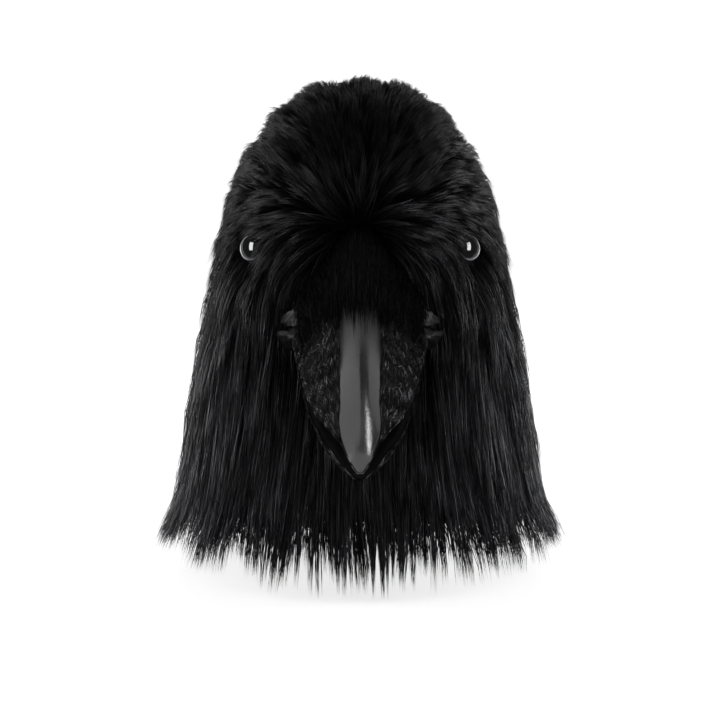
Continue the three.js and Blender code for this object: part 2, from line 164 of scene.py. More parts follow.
def coat_distance(direction):
    """How far the smooth coat is along each direction from the centre. A level section is the superellipse
    |side/a|^p + |ahead/b|^p = 1, with p from 2.3 at eye level to 2 at the crown."""
    level = np.hypot(direction[..., 0], direction[..., 1])
    elevation = np.arctan2(direction[..., 2], level)
    aside = np.abs(direction[..., 0]) / np.maximum(level, 1e-9)
    ahead = -direction[..., 1] / np.maximum(level, 1e-9)
    reach = np.where(ahead > 0, np.interp(elevation, *FRONT_SEEN), np.interp(elevation, *BACK_SEEN))
    power = 2 + SQUARENESS * np.cos(elevation) ** 2
    side = np.interp(elevation, *SIDE_SEEN)
    return ((aside / side) ** power + (np.abs(ahead) / reach) ** power) ** (-1 / power)


def coat_frame(direction):
    """The coat's points from the centre along unit directions, and its outward normals. A normal is the
    direction times the distance, less the distance's slopes along two lines across it."""
    across = unit(np.cross(direction, [0.577, 0.577, -0.577]))
    along = np.cross(direction, across)
    step = 0.004
    distance = coat_distance(direction)
    normal = direction * distance[..., None]
    for way in (across, along):
        further, nearer = (coat_distance(unit(direction + side * way)) for side in (step, -step))
        normal = normal - way * ((further - nearer) / (2 * step))[..., None]
    return direction * distance[..., None], unit(normal)


def toward(azimuth, elevation):
    """The unit direction at an azimuth, which is 0 ahead and grows towards +X, and an elevation."""
    azimuth, elevation = np.broadcast_arrays(azimuth, elevation)
    level = np.cos(elevation)
    return np.stack([level * np.sin(azimuth), -level * np.cos(azimuth), np.sin(elevation)], -1)


def azimuth_of(direction):
    """The azimuth of directions or points."""
    return np.arctan2(direction[..., 0], -direction[..., 1])


def elevation_of(direction):
    """The elevation of unit directions."""
    return np.arcsin(np.clip(direction[..., 2], -1, 1))


def parting(azimuth):
    """The elevation of the line between the short pile and the mane: mean + swing * cos(azimuth)."""
    return PARTING_MEAN + PARTING_SWING * np.cos(azimuth)


def above_parting(direction):
    """How far a direction lies above the parting, made ragged by a ripple except over the beak."""
    ragged = PARTING_RAGGED * ripple(direction, 0.1, 23) * (1 - smoothstep(direction @ BEAK_ROOT, 0.55, 0.75))
    return elevation_of(direction) - parting(azimuth_of(direction)) + ragged


def elevation_at_height(azimuth, height):
    """The elevation at which the coat is at a height, to about a rung of a ladder of elevations that has a
    rung for each azimuth."""
    ladder = np.linspace(-1.1, 1.2, len(azimuth))
    directions = toward(azimuth[:, None], ladder[None, :])
    heights = CENTRE[2] + directions[..., 2] * coat_distance(directions)
    rung = np.clip((heights < height).sum(1), 1, len(ladder) - 1)
    row = np.arange(len(azimuth))
    low, high = heights[row, rung - 1], heights[row, rung]
    share = np.clip((height - low) / (high - low), 0, 1)
    return ladder[rung - 1] + share * (ladder[1] - ladder[0])


def ripple(points, pitch, seed, terms=7):
    """A smooth random field of about unit size: a sum of sine waves that run in random directions."""
    dice = np.random.default_rng(seed)
    waves = unit(dice.normal(size=(terms, 3))) * (2 * pi / pitch) * dice.uniform(0.6, 1.4, (terms, 1))
    return np.sin(points @ waves.T + dice.uniform(0, 2 * pi, terms)).sum(-1) * sqrt(2 / terms)


# Meshes

def new_piece(name, points, faces, material, uv=None, smooth=True, bare=None):
    """A mesh object from points in the head's own frame, mm, and rows of three or four corners."""
    mesh = bpy.data.meshes.new(name)
    mesh.vertices.add(len(points))
    mesh.vertices.foreach_set("co", ((points + HEAD_AXIS) * MM).astype(np.float32).ravel())
    sides = faces.shape[1]
    mesh.loops.add(faces.size)
    mesh.loops.foreach_set("vertex_index", faces.astype(np.int32).ravel())
    mesh.polygons.add(len(faces))
    mesh.polygons.foreach_set("loop_start", np.arange(0, faces.size, sides, dtype=np.int32))
    if uv is not None:
        layer = mesh.uv_layers.new(name="OFBake")
        layer.data.foreach_set("uv", uv[faces.ravel()].astype(np.float32).ravel())
    mesh.update(calc_edges=True)
    mesh.polygons.foreach_set("use_smooth", [smooth] * len(faces))
    if bare is not None:
        own = mesh.attributes.new("bare", "FLOAT", "POINT")
        own.data.foreach_set("value", bare.ravel().astype(np.float32))
    mesh.materials.append(material)
    piece = bpy.data.objects.new(name, mesh)
    bpy.context.scene.collection.objects.link(piece)
    return piece


def belongs(piece, node):
    """The piece rides on the mask's one body and stands for a CAD node, which is hidden."""
    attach(piece, "root")
    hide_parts(node)
    return piece


def ring_faces(rows, columns, looped_rows):
    """The quads of a grid of points whose rows are rings. Looped, the last row meets the first."""
    r = np.arange(rows if looped_rows else rows - 1)[:, None]
    c = np.arange(columns)[None, :]
    below, beside = (r + 1) % rows, (c + 1) % columns
    quads = [r * columns + c, r * columns + beside, below * columns + beside, below * columns + c]
    return np.stack([np.broadcast_to(q, (r.size, c.size)) for q in quads], -1).reshape(-1, 4)


def faces_out(piece):
    """Turns a mesh's faces outwards, after points in one place are merged."""
    shape = bmesh.new()
    shape.from_mesh(piece.data)
    bmesh.ops.remove_doubles(shape, verts=shape.verts, dist=1e-6)
    bmesh.ops.recalc_face_normals(shape, faces=shape.faces)
    shape.to_mesh(piece.data)
    shape.free()


def ringed_piece(name, points, material, node, looped_rows=False, bare=None):
    """A piece of the mask from rows of points, each a ring, with its faces outwards."""
    faces = ring_faces(*points.shape[:2], looped_rows)
    piece = new_piece(name, points.reshape(-1, 3), faces, material, bare=bare)
    faces_out(piece)
    return belongs(piece, node)


# Materials

def grey(value, blue=None):
    """A plain grey, or a cold one with its own blue."""
    return (value, value, value if blue is None else blue)


def feed(socket, value):
    """Links an input to another node's output, or sets it to a value."""
    if isinstance(value, bpy.types.NodeSocket):
        socket.id_data.links.new(value, socket)
    else:
        socket.default_value = value


def add_node(tree, kind, **inputs):
    """A new shader node, with its inputs fed by name."""
    made = tree.nodes.new("ShaderNode" + kind)
    for name, value in inputs.items():
        feed(made.inputs[name.replace("_", " ")], value)
    return made


def plain_material(name, colour, roughness, **sockets):
    """A Principled material, its tree and its shader. Every socket given by name is set to one value."""
    material = bpy.data.materials.new(name)
    material.use_nodes = True
    shader = material.node_tree.nodes["Principled BSDF"]
    shader.inputs["Base Color"].default_value = (*colour, 1)
    shader.inputs["Roughness"].default_value = roughness
    for socket, value in sockets.items():
        shader.inputs[socket.replace("_", " ")].default_value = value
    return material, material.node_tree, shader


def object_noise(tree, scale, stretch=(1, 1, 1), detail=4.0):
    """A noise of the piece's own place, stretched along the axes."""
    place = add_node(tree, "TexCoord").outputs["Object"]
    stretched = add_node(tree, "Mapping", Vector=place, Scale=stretch).outputs["Vector"]
    return add_node(tree, "TexNoise", Vector=stretched, Scale=scale, Detail=detail).outputs["Fac"]


def ramp(tree, value, *stops):
    """A colour ramp on a value, from (place, colour) stops."""
    made = add_node(tree, "ValToRGB", Fac=value)
    elements = made.color_ramp.elements
    elements.remove(elements[1])
    elements[0].position, elements[0].color = stops[0][0], (*stops[0][1], 1)
    for place, colour in stops[1:]:
        elements.new(place).color = (*colour, 1)
    return made.outputs["Color"]


def blend(tree, kind, share, first, second):
    """Two colours mixed or multiplied, by a share."""
    made = add_node(tree, "Mix")
    made.data_type, made.blend_type = "RGBA", kind
    feed(made.inputs["Factor"], share)
    feed(made.inputs[6], first)
    feed(made.inputs[7], second)
    return made.outputs[2]


def bump(tree, shader, height, strength, distance):
    """A surface roughened by a height."""
    made = add_node(tree, "Bump", Strength=strength, Distance=distance, Height=height)
    feed(shader.inputs["Normal"], made.outputs["Normal"])


def pile_material(name, deep, pale, shine):
    """Fibre: each strand's tone, scaled by painted light and shade by place, is its UV's first value, and
    painted shade darkens it towards the root by the second.
    """
    material, tree, shader = plain_material(name, pale, 0.5, Specular_IOR_Level=shine)
    own = add_node(tree, "UVMap")
    own.uv_map = "OFBake"
    split = add_node(tree, "SeparateXYZ", Vector=own.outputs["UV"])
    middle = [0.6 * d + 0.4 * p for d, p in zip(deep, pale)]
    tone = ramp(tree, split.outputs["X"], (0.0, deep), (0.7, middle), (1.0, pale))
    # Painted shade: each strand is darker towards its root, where the pile shades it
    root_shade = ramp(tree, split.outputs["Y"], (0.0, grey(0.25)), (0.45, grey(0.8)), (1.0, grey(1.0)))
    feed(shader.inputs["Base Color"], blend(tree, "MULTIPLY", 1.0, tone, root_shade))
    return material


def undercoat_shade_material():
    """The dense wool at the strands' roots, with a fine fibrous grain. Its near-black, matt colour is partly
    the wool's own and partly painted shade deep in the pile.
    """
    material, tree, shader = plain_material("undercoat wool and painted shade", grey(0.004), 0.95, Specular_IOR_Level=0.1)
    grain = object_noise(tree, 900, (1, 1, 0.2))
    # Near-black: the wool's own colour and painted shade deep in the pile
    feed(shader.inputs["Base Color"], ramp(tree, grain, (0.3, grey(0.002)), (0.75, grey(0.007, 0.008))))
    bump(tree, shader, grain, 0.8, 0.001)
    return material


def latex_material(name, deep, pale, roughness, shine=0.5):
    """Black latex with a faint lengthwise cloudiness and a fine skin."""
    material, tree, shader = plain_material(name, deep, roughness, Specular_IOR_Level=shine)
    cloud = object_noise(tree, 60, (3, 1, 1))
    feed(shader.inputs["Base Color"], ramp(tree, cloud, (0.3, deep), (0.7, pale)))
    bump(tree, shader, object_noise(tree, 330, (1, 1, 0.5), detail=3.0), 0.6, 0.0008)
    return material


def beak_material():
    """The beak's latex: satin where the piece's value "bare" is 1, matt and darker where it is 0, with a
    lengthwise grain."""
    material, tree, shader = plain_material("beak latex", grey(0.01, 0.011), 0.3)
    own = add_node(tree, "Attribute")
    own.attribute_name = "bare"
    bare = own.outputs["Fac"]
    cloud = object_noise(tree, 45, (1.5, 0.6, 0.6))
    satin = ramp(tree, cloud, (0.3, grey(0.003, 0.0033)), (0.7, grey(0.018, 0.0195)))
    matt = ramp(tree, cloud, (0.3, grey(0.001, 0.0011)), (0.7, grey(0.0025, 0.0028)))
    feed(shader.inputs["Base Color"], blend(tree, "MIX", bare, matt, satin))
    feed(shader.inputs["Roughness"], ramp(tree, bare, (0.0, grey(0.9)), (1.0, grey(0.17))))
    bump(tree, shader, object_noise(tree, 480, (1, 0.35, 1), detail=3.0), 0.2, 0.0004)
    return material


def glass_material():
    """The eye's black glass, nearly clear of scratches."""
    material, tree, shader = plain_material(
        "eye glass", grey(0.001, 0.0013), 0.03, IOR=2.0, Coat_Weight=1.0, Coat_IOR=2.2, Coat_Roughness=0.02)
    smear = object_noise(tree, 220)
    feed(shader.inputs["Roughness"], ramp(tree, smear, (0.35, grey(0.02)), (0.8, grey(0.06))))
    return material


def rim_and_highlight_material():
    """The pale grey rim round the glass: the rim's own colour, and in its crescent a painted highlight."""
    material, tree, shader = plain_material("eye rim and painted highlight", grey(0.32, 0.34), 0.35)
    cloud = object_noise(tree, 500)
    feed(shader.inputs["Base Color"], ramp(tree, cloud, (0.3, grey(0.25, 0.27)), (0.7, grey(0.38, 0.4))))
    return material


# The crown's pile is darker than the mane's, and the beak root's darker still: painted shade, on the crown's
# sides where the side lamps fall and on the root, where little light falls
crown_pile = pile_material("crown pile", grey(0.002, 0.0023), (0.265, 0.262, 0.287), shine=0.08)
mane_pile = pile_material("mane pile", grey(0.003, 0.0035), (0.335, 0.332, 0.363), shine=0.17)
root_pile = pile_material("beak root pile", grey(0.001, 0.0012), grey(0.06, 0.065), shine=0.14)
bristle_fibre = pile_material("beak bristles", grey(0.0008, 0.001), grey(0.4, 0.42), shine=0.06)
undercoat_wool_and_shade = undercoat_shade_material()
beak_latex = beak_material()
lip_latex = latex_material("lip latex", grey(0.006, 0.007), grey(0.016, 0.018), 0.5)
jaw_latex = latex_material("jaw latex", grey(0.0025, 0.0028), grey(0.0075, 0.008), 0.8, shine=0.06)
matt_latex = latex_material("matt latex", grey(0.003, 0.0035), grey(0.006, 0.007), 0.6)
eye_glass = glass_material()
eye_rim_and_highlight = rim_and_highlight_material()


# Latex

def moulding():
    """The head's moulding inside the pile: a copy of its solid, merged, with smooth shading. Outside the
    coat its outer skin is sunk along its normals, since the beak's fine skins lie over it there."""
    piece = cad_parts["latex_head"].copy()
    piece.data = mesh = piece.data.copy()
    piece.name = "head_moulding"
    piece.parent = None
    faces_out(piece)
    count = len(mesh.vertices)
    points, normals = np.empty(count * 3), np.empty(count * 3)
    mesh.vertices.foreach_get("co", points)
    mesh.vertices.foreach_get("normal", normals)
    points, normals = points.reshape(-1, 3) / MM - HEAD_AXIS, normals.reshape(-1, 3)
    reach = -points[:, 1]
    lines = [line for half in (UPPER_BEAK, JAW) for line in beak_lines(half, np.linspace(0, 1, 160))[:2]]

    def middles(at_reach):
        """The heights of the upper beak's middle line, the jaw's and the line between them at a reach."""
        ridge, upper_edge, chin, jaw_edge = (np.interp(at_reach, *line.T) for line in lines)
        return (ridge + upper_edge) / 2, (chin + jaw_edge) / 2, (upper_edge + jaw_edge) / 2

    upper, lower, parted = middles(reach)
    in_upper = points[:, 2] > parted
    middle = np.where(in_upper, upper, lower)
    faces_away = normals[:, 0] * points[:, 0] + normals[:, 2] * (points[:, 2] - middle) > 0
    points -= normals * (MOULDING_SUNK * smoothstep(reach, *LEAVES_COAT) * faces_away)[:, None]
    # Both tips draw back along the beak's middle lines, under the blunter tips of the skins
    drawn_back = DRAWN_BACK * np.clip(reach - DRAWN_BACK_FROM, 0, None)
    upper, lower, _ = middles(reach - drawn_back)
    points[:, 2] += np.where(in_upper, upper, lower) - middle
    points[:, 1] += drawn_back
    points += HEAD_AXIS
    mesh.vertices.foreach_set("co", (points * MM).astype(np.float32).ravel())
    mesh.polygons.foreach_set("use_smooth", [True] * len(mesh.polygons))
    mesh.set_sharp_from_angle(angle=radians(40))
    mesh.materials.clear()
    mesh.materials.append(matt_latex)
    bpy.context.scene.collection.objects.link(piece)
    return belongs(piece, "latex_head")


def beak_lines(half, along):
    """A half's ridge and cutting edge in the middle plane, and its half widths, at shares of its length. The
    widths end in a quarter of an ellipse, sqrt(1 - t^2), which rounds the tip."""
    ridge, edge = (spline([*half[line], half["tip"]], along, by_chord=True) for line in ("ridge", "edge"))
    rounded = np.sqrt(1 - np.clip((np.asarray(along) - 0.88) / 0.12, 0, 1) ** 2)
    width = spline(np.c_[half["half_width"] + [half["half_width"][-1] / 2]], along)[:, 0] * rounded
    band = np.minimum(spline(np.c_[half["ridge_half_width"] + [0]], along)[:, 0], width * 0.85)
    return ridge, edge, width, band


def beak_skin(half, along, around, proud):
    """The outside of a beak half: mirrored sections between the ridge and the cutting edge, with x from the
    band's half width and what lies beyond it, set out along the normals. Towards a blunt tip the band takes
    in the whole section and rounds over. Also returns the normals and how bare each point is."""
    ridge, edge, width, band = beak_lines(half, along)
    outer = spline(half["section"], around)
    inner = spline(half["palate"], np.linspace(0, 1, 7))[1:]
    one_side = np.vstack([outer, inner])
    section = np.vstack([one_side, (one_side * [-1, -1, 1])[-2:0:-1]])
    on_band, beyond, height = section.T[:, None, :]
    blunt = smoothstep(along, *half["blunt"])[:, None]
    band = band[:, None] + (0.95 * width - band)[:, None] * blunt
    shoulder = half["shoulder"] - 0.1 * blunt
    on_top = 1 - (1 - height) * (1 - shoulder) / (1 - half["shoulder"])
    on_side = height * shoulder / half["shoulder"]
    height = np.where(height > half["shoulder"], on_top, on_side)
    x = band * on_band + (width[:, None] - band) * beyond
    middle = edge[:, None, :] + (ridge - edge)[:, None, :] * height[..., None]
    points = np.stack([x, -middle[..., 0], middle[..., 1]], -1)
    lengthwise = np.gradient(points, axis=0)
    crosswise = np.roll(points, -1, 1) - np.roll(points, 1, 1)
    normal = unit(np.cross(lengthwise, crosswise))
    if (normal * (points - points.mean(1, keepdims=True))).sum() < 0:
        normal = -normal
    limit = spline(np.c_[half["bare_half_width"] + [0]], along)
    unhaired = (1 - smoothstep(np.abs(beyond), 0.01, 0.1)) * (1 - smoothstep(np.abs(x) - limit, -1, 1))
    bare = np.maximum(unhaired * (0.22 + 0.78 * smoothstep(along, 0.36, 0.6))[:, None], blunt)
    return points + normal * proud, normal, bare


def beak_half(name, half, proud, bareness, material):
    """A beak half's skin as a thin closed wall over the moulding, fine where the moulding is coarse. Its
    last ring is all at the tip, where it is merged to one point."""
    steps = np.sin(np.linspace(0, 0.995, 84) * pi / 2) ** 0.9
    points, normal, bare = beak_skin(half, steps, np.linspace(0, 1, 38), proud)
    # The flanks swell and sink a little, and the bare band along the ridge is smooth
    points += normal * (0.3 * ripple(points, 24, 5) * (1 - bare))[..., None]
    columns = points.shape[1]
    tip = [0, -half["tip"][0] - proud, half["tip"][1] - 0.3]
    points = np.concatenate([points, np.tile(tip, (1, columns, 1))])
    bare = np.vstack([bare, np.ones(columns)]) * bareness
    piece = ringed_piece(name, points, material, "latex_head", bare=bare)
    wall = piece.modifiers.new("wall", "SOLIDIFY")
    wall.thickness = SKIN_WALL * MM
    wall.offset = -1
    return piece


def lip_pads():
    """The swollen pads at the corners of the mouth: puckered ellipsoids turned about the upright, flattened
    where they face each other by a height of z * (0.85 + 0.4 * tanh(2.5 * z))."""
    around, down = 60, 26
    turn = np.linspace(0, 2 * pi, around, endpoint=False)[None, :]
    fall = np.linspace(0, pi, down)[:, None]
    x, y, z = (np.broadcast_to(a, (down, around)) for a in (
        np.sin(fall) * np.cos(turn), np.sin(fall) * np.sin(turn), np.cos(fall) + 0 * turn))
    folds = np.sin(17 * y + 2.5 * z) + 0.8 * np.sin(23 * y - 3 * z + 6 * x) + 0.6 * np.sin(9 * z + 5 * y)
    pucker = 1 + 0.06 * folds * (1 - z**2)
    pads = []
    for place, aside, reach, height, half_height in LIPS:
        away = 1 if place == "upper" else -1
        swollen = z * (0.85 + 0.4 * np.tanh(2.5 * z * away))
        level = pucker * (1 - 0.3 * np.clip(z * away, 0, 1))
        ball = np.stack([x * level, y * level, swollen * (1 + 0.12 * folds)], -1)
        for side_name, side in SIDES:
            local = ball * [LIP_HALF_WIDTH, LIP_HALF_LENGTH, half_height]
            c, s = cos(side * LIP_TURN), sin(side * LIP_TURN)
            turned = local @ np.array([[c, s, 0], [-s, c, 0], [0, 0, 1]])
            points = turned + [side * aside, -reach, height]
            name = f"{place}_lip_{side_name}"
            pads.append(ringed_piece(name, points, lip_latex, "latex_head"))
    return pads


# Eyes

def eye_ways(side):
    """An eye's own directions: out of the head, towards its outer corner, and up."""
    c, s = cos(EYE_TURN), sin(EYE_TURN)
    return np.array([side * s, -c, 0]), np.array([side * c, s, 0]), np.array([0, 0, 1.0])


def turned_piece(name, profile, side, material, node):
    """A profile of [radius, height] turned round the eye's axis. A third and fourth value are added to the
    radius and height, times the square of (1 + cos(angle from the outer lower side)) / 2."""
    count = 56
    angle = np.linspace(0, 2 * pi, count, endpoint=False)[None, :]
    profile = np.array([[*point, 0, 0][:4] for point in profile], float)
    radius, height, swell, lift = profile.T[:, :, None]
    outer_low = ((1 + np.cos(angle + LID_LOW_CORNER)) / 2) ** 2
    radius, height = radius + swell * outer_low, height + lift * outer_low
    out, outer, up = eye_ways(side)
    points = (radius * np.cos(angle))[..., None] * outer + (radius * np.sin(angle))[..., None] * up
    points = points + height[..., None] * out + [side * EYE_ASIDE, -EYE_REACH, EYE_Z]
    closed = abs(profile[0][0]) > 1e-6
    return ringed_piece(name, points, material, node, looped_rows=closed)


def eyes():
    """Each eye is a disc with a domed glass face, a cap of a sphere, in a rounded pale rim that is widest at
    its outer lower side, where its pale crescent is also a painted highlight. Returns the two domes and the
    two rim pieces."""
    curve = (GLASS_RADIUS**2 + GLASS_HEIGHT**2) / (2 * GLASS_HEIGHT)
    spread = asin(GLASS_RADIUS / curve)
    turn = np.linspace(spread, 0, 16)
    cap = [[curve * sin(a), GLASS_HEIGHT - curve * (1 - cos(a))] for a in turn]
    dome = [[0, -EYE_BACK], [GLASS_RADIUS - 0.6, -EYE_BACK], [GLASS_RADIUS, -EYE_BACK + 0.6], *cap]
    turn = np.linspace(0, 2 * pi, 16, endpoint=False)
    # Widest at the outer lower side, where the pale crescent is a painted highlight as well as rim
    rim = [[GLASS_RADIUS - 0.3 + 0.2 * cos(a), -1.6 + 0.6 * sin(a), 1.8 + 1.1 * cos(a),
            2.0 + 0.8 * sin(a)] for a in turn]
    domes, rims_and_highlights = [], []
    for side_name, side in SIDES:
        domes.append(turned_piece(f"{side_name}_glass_dome", dome, side, eye_glass, f"{side_name}_eye"))
        rims_and_highlights.append(turned_piece(f"{side_name}_glass_rim_and_highlight", rim, side, eye_rim_and_highlight, f"{side_name}_eye"))
    return domes, rims_and_highlights


# Pile

STRAND_TURNS = np.radians([90, 210, 330])
STRAND_FLATNESS = 0.7


def strand_mesh(centres, normals, widths, tones):
    """Closed three-sided strands that taper to a point. Each centre but the last has a ring of corners:
    centre + width/2 * (cos(turn) * sideways + flatness * sin(turn) * outwards). Returns points, triangles
    and UVs, with the strand's tone along u and its length along v."""
    count, stations = centres.shape[:2]
    rings = stations - 1
    ahead = unit(np.gradient(centres, axis=1))
    sideways = unit(np.cross(normals, ahead))
    outwards = np.cross(ahead, sideways)
    ring = centres[:, :rings, None, :] + 0.5 * widths[:, :, None, None] * (
        np.cos(STRAND_TURNS)[:, None] * sideways[:, :rings, None, :]
        + STRAND_FLATNESS * np.sin(STRAND_TURNS)[:, None] * outwards[:, :rings, None, :]
    )
    points = np.concatenate([ring.reshape(count, rings * 3, 3), centres[:, -1:]], 1)
    faces, tip = [[0, 2, 1]], rings * 3
    for a in range(tip):
        b = a + 1 if a % 3 < 2 else a - 2
        faces += [[a, b, tip]] if a >= tip - 3 else [[a, b, b + 3], [a, b + 3, a + 3]]
    faces = np.array(faces)[None] + (np.arange(count) * points.shape[1])[:, None, None]
    steps = np.array([0, 0.01, 0.02])
    u = np.concatenate([np.tile(steps, rings), [0.01]])[None, :] + tones[:, None] * 0.95 + 0.01
    v = np.concatenate([np.repeat(np.arange(rings) / rings, 3), [1.0]])[None, :] * 0.96 + 0.02
    uv = np.stack([u, np.broadcast_to(v, u.shape)], -1)
    return points.reshape(-1, 3), faces.reshape(-1, 3), uv.reshape(-1, 2)


def strand_piece(name, strands, material, node):
    """A piece from the strands' centres, normals, widths and tones."""
    points, faces, uv = strand_mesh(*strands)
    return belongs(new_piece(name, points, faces, material, uv), node)


def growth(direction):
    """The way the pile lies: away from the beak's root over the face and crown, and down under its own
    weight lower on the head. Also returns its turn aside, a slow ripple that is less in the long mane."""
    away = unit(direction * (direction @ BEAK_ROOT)[..., None] - BEAK_ROOT)
    fall = np.array([0, 0, -1.0])
    weight = 1 - smoothstep(elevation_of(direction), radians(-14), radians(52))
    lie = unit((1 - weight)[..., None] * away + (1.25 * weight)[..., None] * fall)
    turn = (0.13 * ripple(direction, 0.3, 21) + 0.08 * ripple(direction, 0.12, 22)) * (1 - 0.65 * weight)
    return lie, turn


def spread_directions(count, seed, keep):
    """About count directions spread evenly over the part of the coat that keep picks out: a sunflower
    spiral over the sphere, jittered, and thinned to even out the coat's area."""
    dice = np.random.default_rng(seed)
    total = int(count * 6)
    i = np.arange(total) + 0.5
    z = 1 - 2 * i / total
    turn = pi * (1 + 5**0.5) * i
    level = np.sqrt(1 - z * z)
    directions = np.stack([level * np.cos(turn), level * np.sin(turn), z], -1)
    directions = unit(directions + dice.normal(size=directions.shape) * 1.1 / sqrt(total))
    directions = directions[keep(directions)]
    points, normals = coat_frame(directions)
    area = coat_distance(directions) ** 2 / np.maximum((normals * directions).sum(-1), 0.2)
    chance = area / area.sum() * count * (1 + 0.8 * smoothstep(directions @ BEAK_ROOT, 0.78, 0.95))
    return directions[dice.random(len(directions)) < chance]


def guides(starts, lengths, steps):
    """Paths over the coat, each step along the growth at its place, laid flat on the coat. Returns points
    from the centre, normals and ways, one row of steps for each path."""
    direction = starts
    trail, normals, ways = [], [], []
    for _ in range(steps):
        point, normal = coat_frame(direction)
        way, turn = growth(direction)
        way = unit(way - (way * normal).sum(-1, keepdims=True) * normal)
        way = way * np.cos(turn)[:, None] + np.cross(normal, way) * np.sin(turn)[:, None]
        trail.append(point)
        normals.append(normal)
        ways.append(way)
        direction = unit(point + way * (lengths / (steps - 1))[:, None])
    return tuple(np.stack(rows, 1) for rows in (trail, normals, ways))


def mane_relief(direction, along):
    """How far the locks stand out of the smooth coat: ridges that swell towards each tier's end, with
    neighbouring locks' tiers staggered."""
    place = azimuth_of(direction) / (2 * pi) * MANE_LOCKS
    lock = np.round(place)
    ridge = np.cos((place - lock) * pi)
    tier = (along * MANE_TIERS + (lock % 2) / 2) % 1
    settled = smoothstep(along, 0, 0.15) * (1 - 0.6 * smoothstep(along, 0.85, 1))
    return MANE_RELIEF * (ridge * (0.35 + 0.65 * tier) - 0.5) * settled


def crown_relief(direction):
    """How far the crown's ridges, which fan out from the beak's root, stand below the smooth coat."""
    from_root = np.arccos(np.clip(direction @ BEAK_ROOT, -1, 1))
    above = np.array([0, BEAK_ROOT[2], -BEAK_ROOT[1]])
    turn = np.arctan2(direction[..., 0], direction @ above)
    ridge = 0.5 + 0.5 * np.cos(turn * CROWN_RIDGES)
    return -CROWN_RELIEF * 0.6 * (1 - ridge) * smoothstep(np.sin(from_root), 0.1, 0.6)


def brow_proud(direction):
    """The brow stands out over the mane: most at the parting, none a band above it or behind."""
    above = elevation_of(direction) - parting(azimuth_of(direction))
    ahead = smoothstep(np.cos(azimuth_of(direction)), -0.5, 0.4)
    return BROW_PROUD * (1 - smoothstep(above, 0, BROW_BAND)) * ahead


def in_beak(points, margin):
    """Whether points lie inside either half of the beak, grown by a margin. The half width at a point's
    reach is band + (width - band) * beyond(its height between the edge and the ridge)."""
    reach = -points[..., 1]
    inside = np.zeros(reach.shape, bool)
    for half in (UPPER_BEAK, JAW):
        ridge, edge, width, band = beak_lines(half, np.linspace(0, 1, 160))
        middle = (ridge[:, 0] + edge[:, 0]) / 2
        top, bottom, wide, narrow = (
            np.interp(reach, middle, line) for line in (ridge[:, 1], edge[:, 1], width, band))
        share = (points[..., 2] - bottom) / (top - bottom)
        section = np.array(half["section"])[::-1]
        limit = narrow + (wide - narrow) * np.interp(share, section[:, 2], section[:, 1]) + margin
        inside |= (share > 0) & (share < 1.02) & (np.abs(points[..., 0]) < limit) & (reach > 40)
    return inside


def in_lips(points, margin):
    """Whether points lie inside the pads at the corners of the mouth, grown by a margin."""
    inside = np.zeros(points.shape[:-1], bool)
    for _, aside, reach, height, half_height in LIPS:
        away = (np.abs(points[..., :1]) - aside, points[..., 1:2] + reach, points[..., 2:] - height)
        size = (LIP_HALF_WIDTH + margin, LIP_HALF_LENGTH + margin, half_height + margin)
        inside |= sum((a[..., 0] / s) ** 2 for a, s in zip(away, size)) < 1
    return inside


def between(centres, at):
    """Values between the steps of each row, at shares of a step."""
    low = np.minimum(at.astype(int), centres.shape[-2] - 2)[..., None]
    share = at[..., None] - low
    near, far = (np.take_along_axis(centres, station, -2) for station in (low, low + 1))
    return near * (1 - share) + far * share


def cut_at_eyes(centres):
    """Ends each strand at an eye's lid, a circle that is nearer on its upper inner side: lid - brow *
    (1 + cos(angle from there)) / 2. Returns the strands and the share of each that is left."""
    stations, samples = centres.shape[-2], 15
    whole = np.ones(centres.shape[:-2] + (1,))
    fine = between(centres, np.linspace(0, stations - 1, samples) * whole)
    blocked = np.zeros(fine.shape[:-1], bool)
    for side in (1, -1):
        out, outer, upward = eye_ways(side)
        away = fine - [side * EYE_ASIDE, -EYE_REACH, EYE_Z]
        depth, across, up = away @ out, away @ outer, away @ upward
        radius = np.hypot(across, up)
        over = (1 + (-0.6 * across + 0.8 * up) / np.maximum(radius, 1e-6)) / 2
        blocked |= (depth > -SOCKET_DEPTH) & (depth < SOCKET_PROUD) & (radius < LID - BROW_OVER * over)
    left = np.where(blocked.any(-1), blocked.argmax(-1) / (samples - 1), 1.0)
    return between(centres, np.linspace(0, stations - 1, stations) * left[..., None]), left


def shade(direction):
    """How light the pile is by place, all as painted light and shade: ahead, 1 in the mane, 0.06 over the
    crown's sides, 0.26 at its top and 0.5 by the beak's root, and behind, 0.23 in the mane and 0.33 in the
    crown."""
    above = elevation_of(direction) - parting(azimuth_of(direction))
    over_top = smoothstep(elevation_of(direction), radians(50), radians(80))
    over_brow = smoothstep(direction @ BEAK_ROOT, 0.93, 0.99)
    in_crown = smoothstep(above, -0.6, 0.25)
    ahead = smoothstep(np.cos(azimuth_of(direction)) + 0.15 * (1 - in_crown), -0.45, 0.3)
    # Painted light and shade ahead: dark over the crown's lamp-lit sides, lighter over the top and by the
    # beak's root
    face = 1 - 0.94 * in_crown + 0.2 * over_top + 0.45 * over_brow
    # Painted shade behind, which evens out the side lamps' light on the back
    behind = 0.23 + 0.1 * smoothstep(above, -0.1, 0.1) - 0.06 * over_top
    return ahead * face + (1 - ahead) * behind


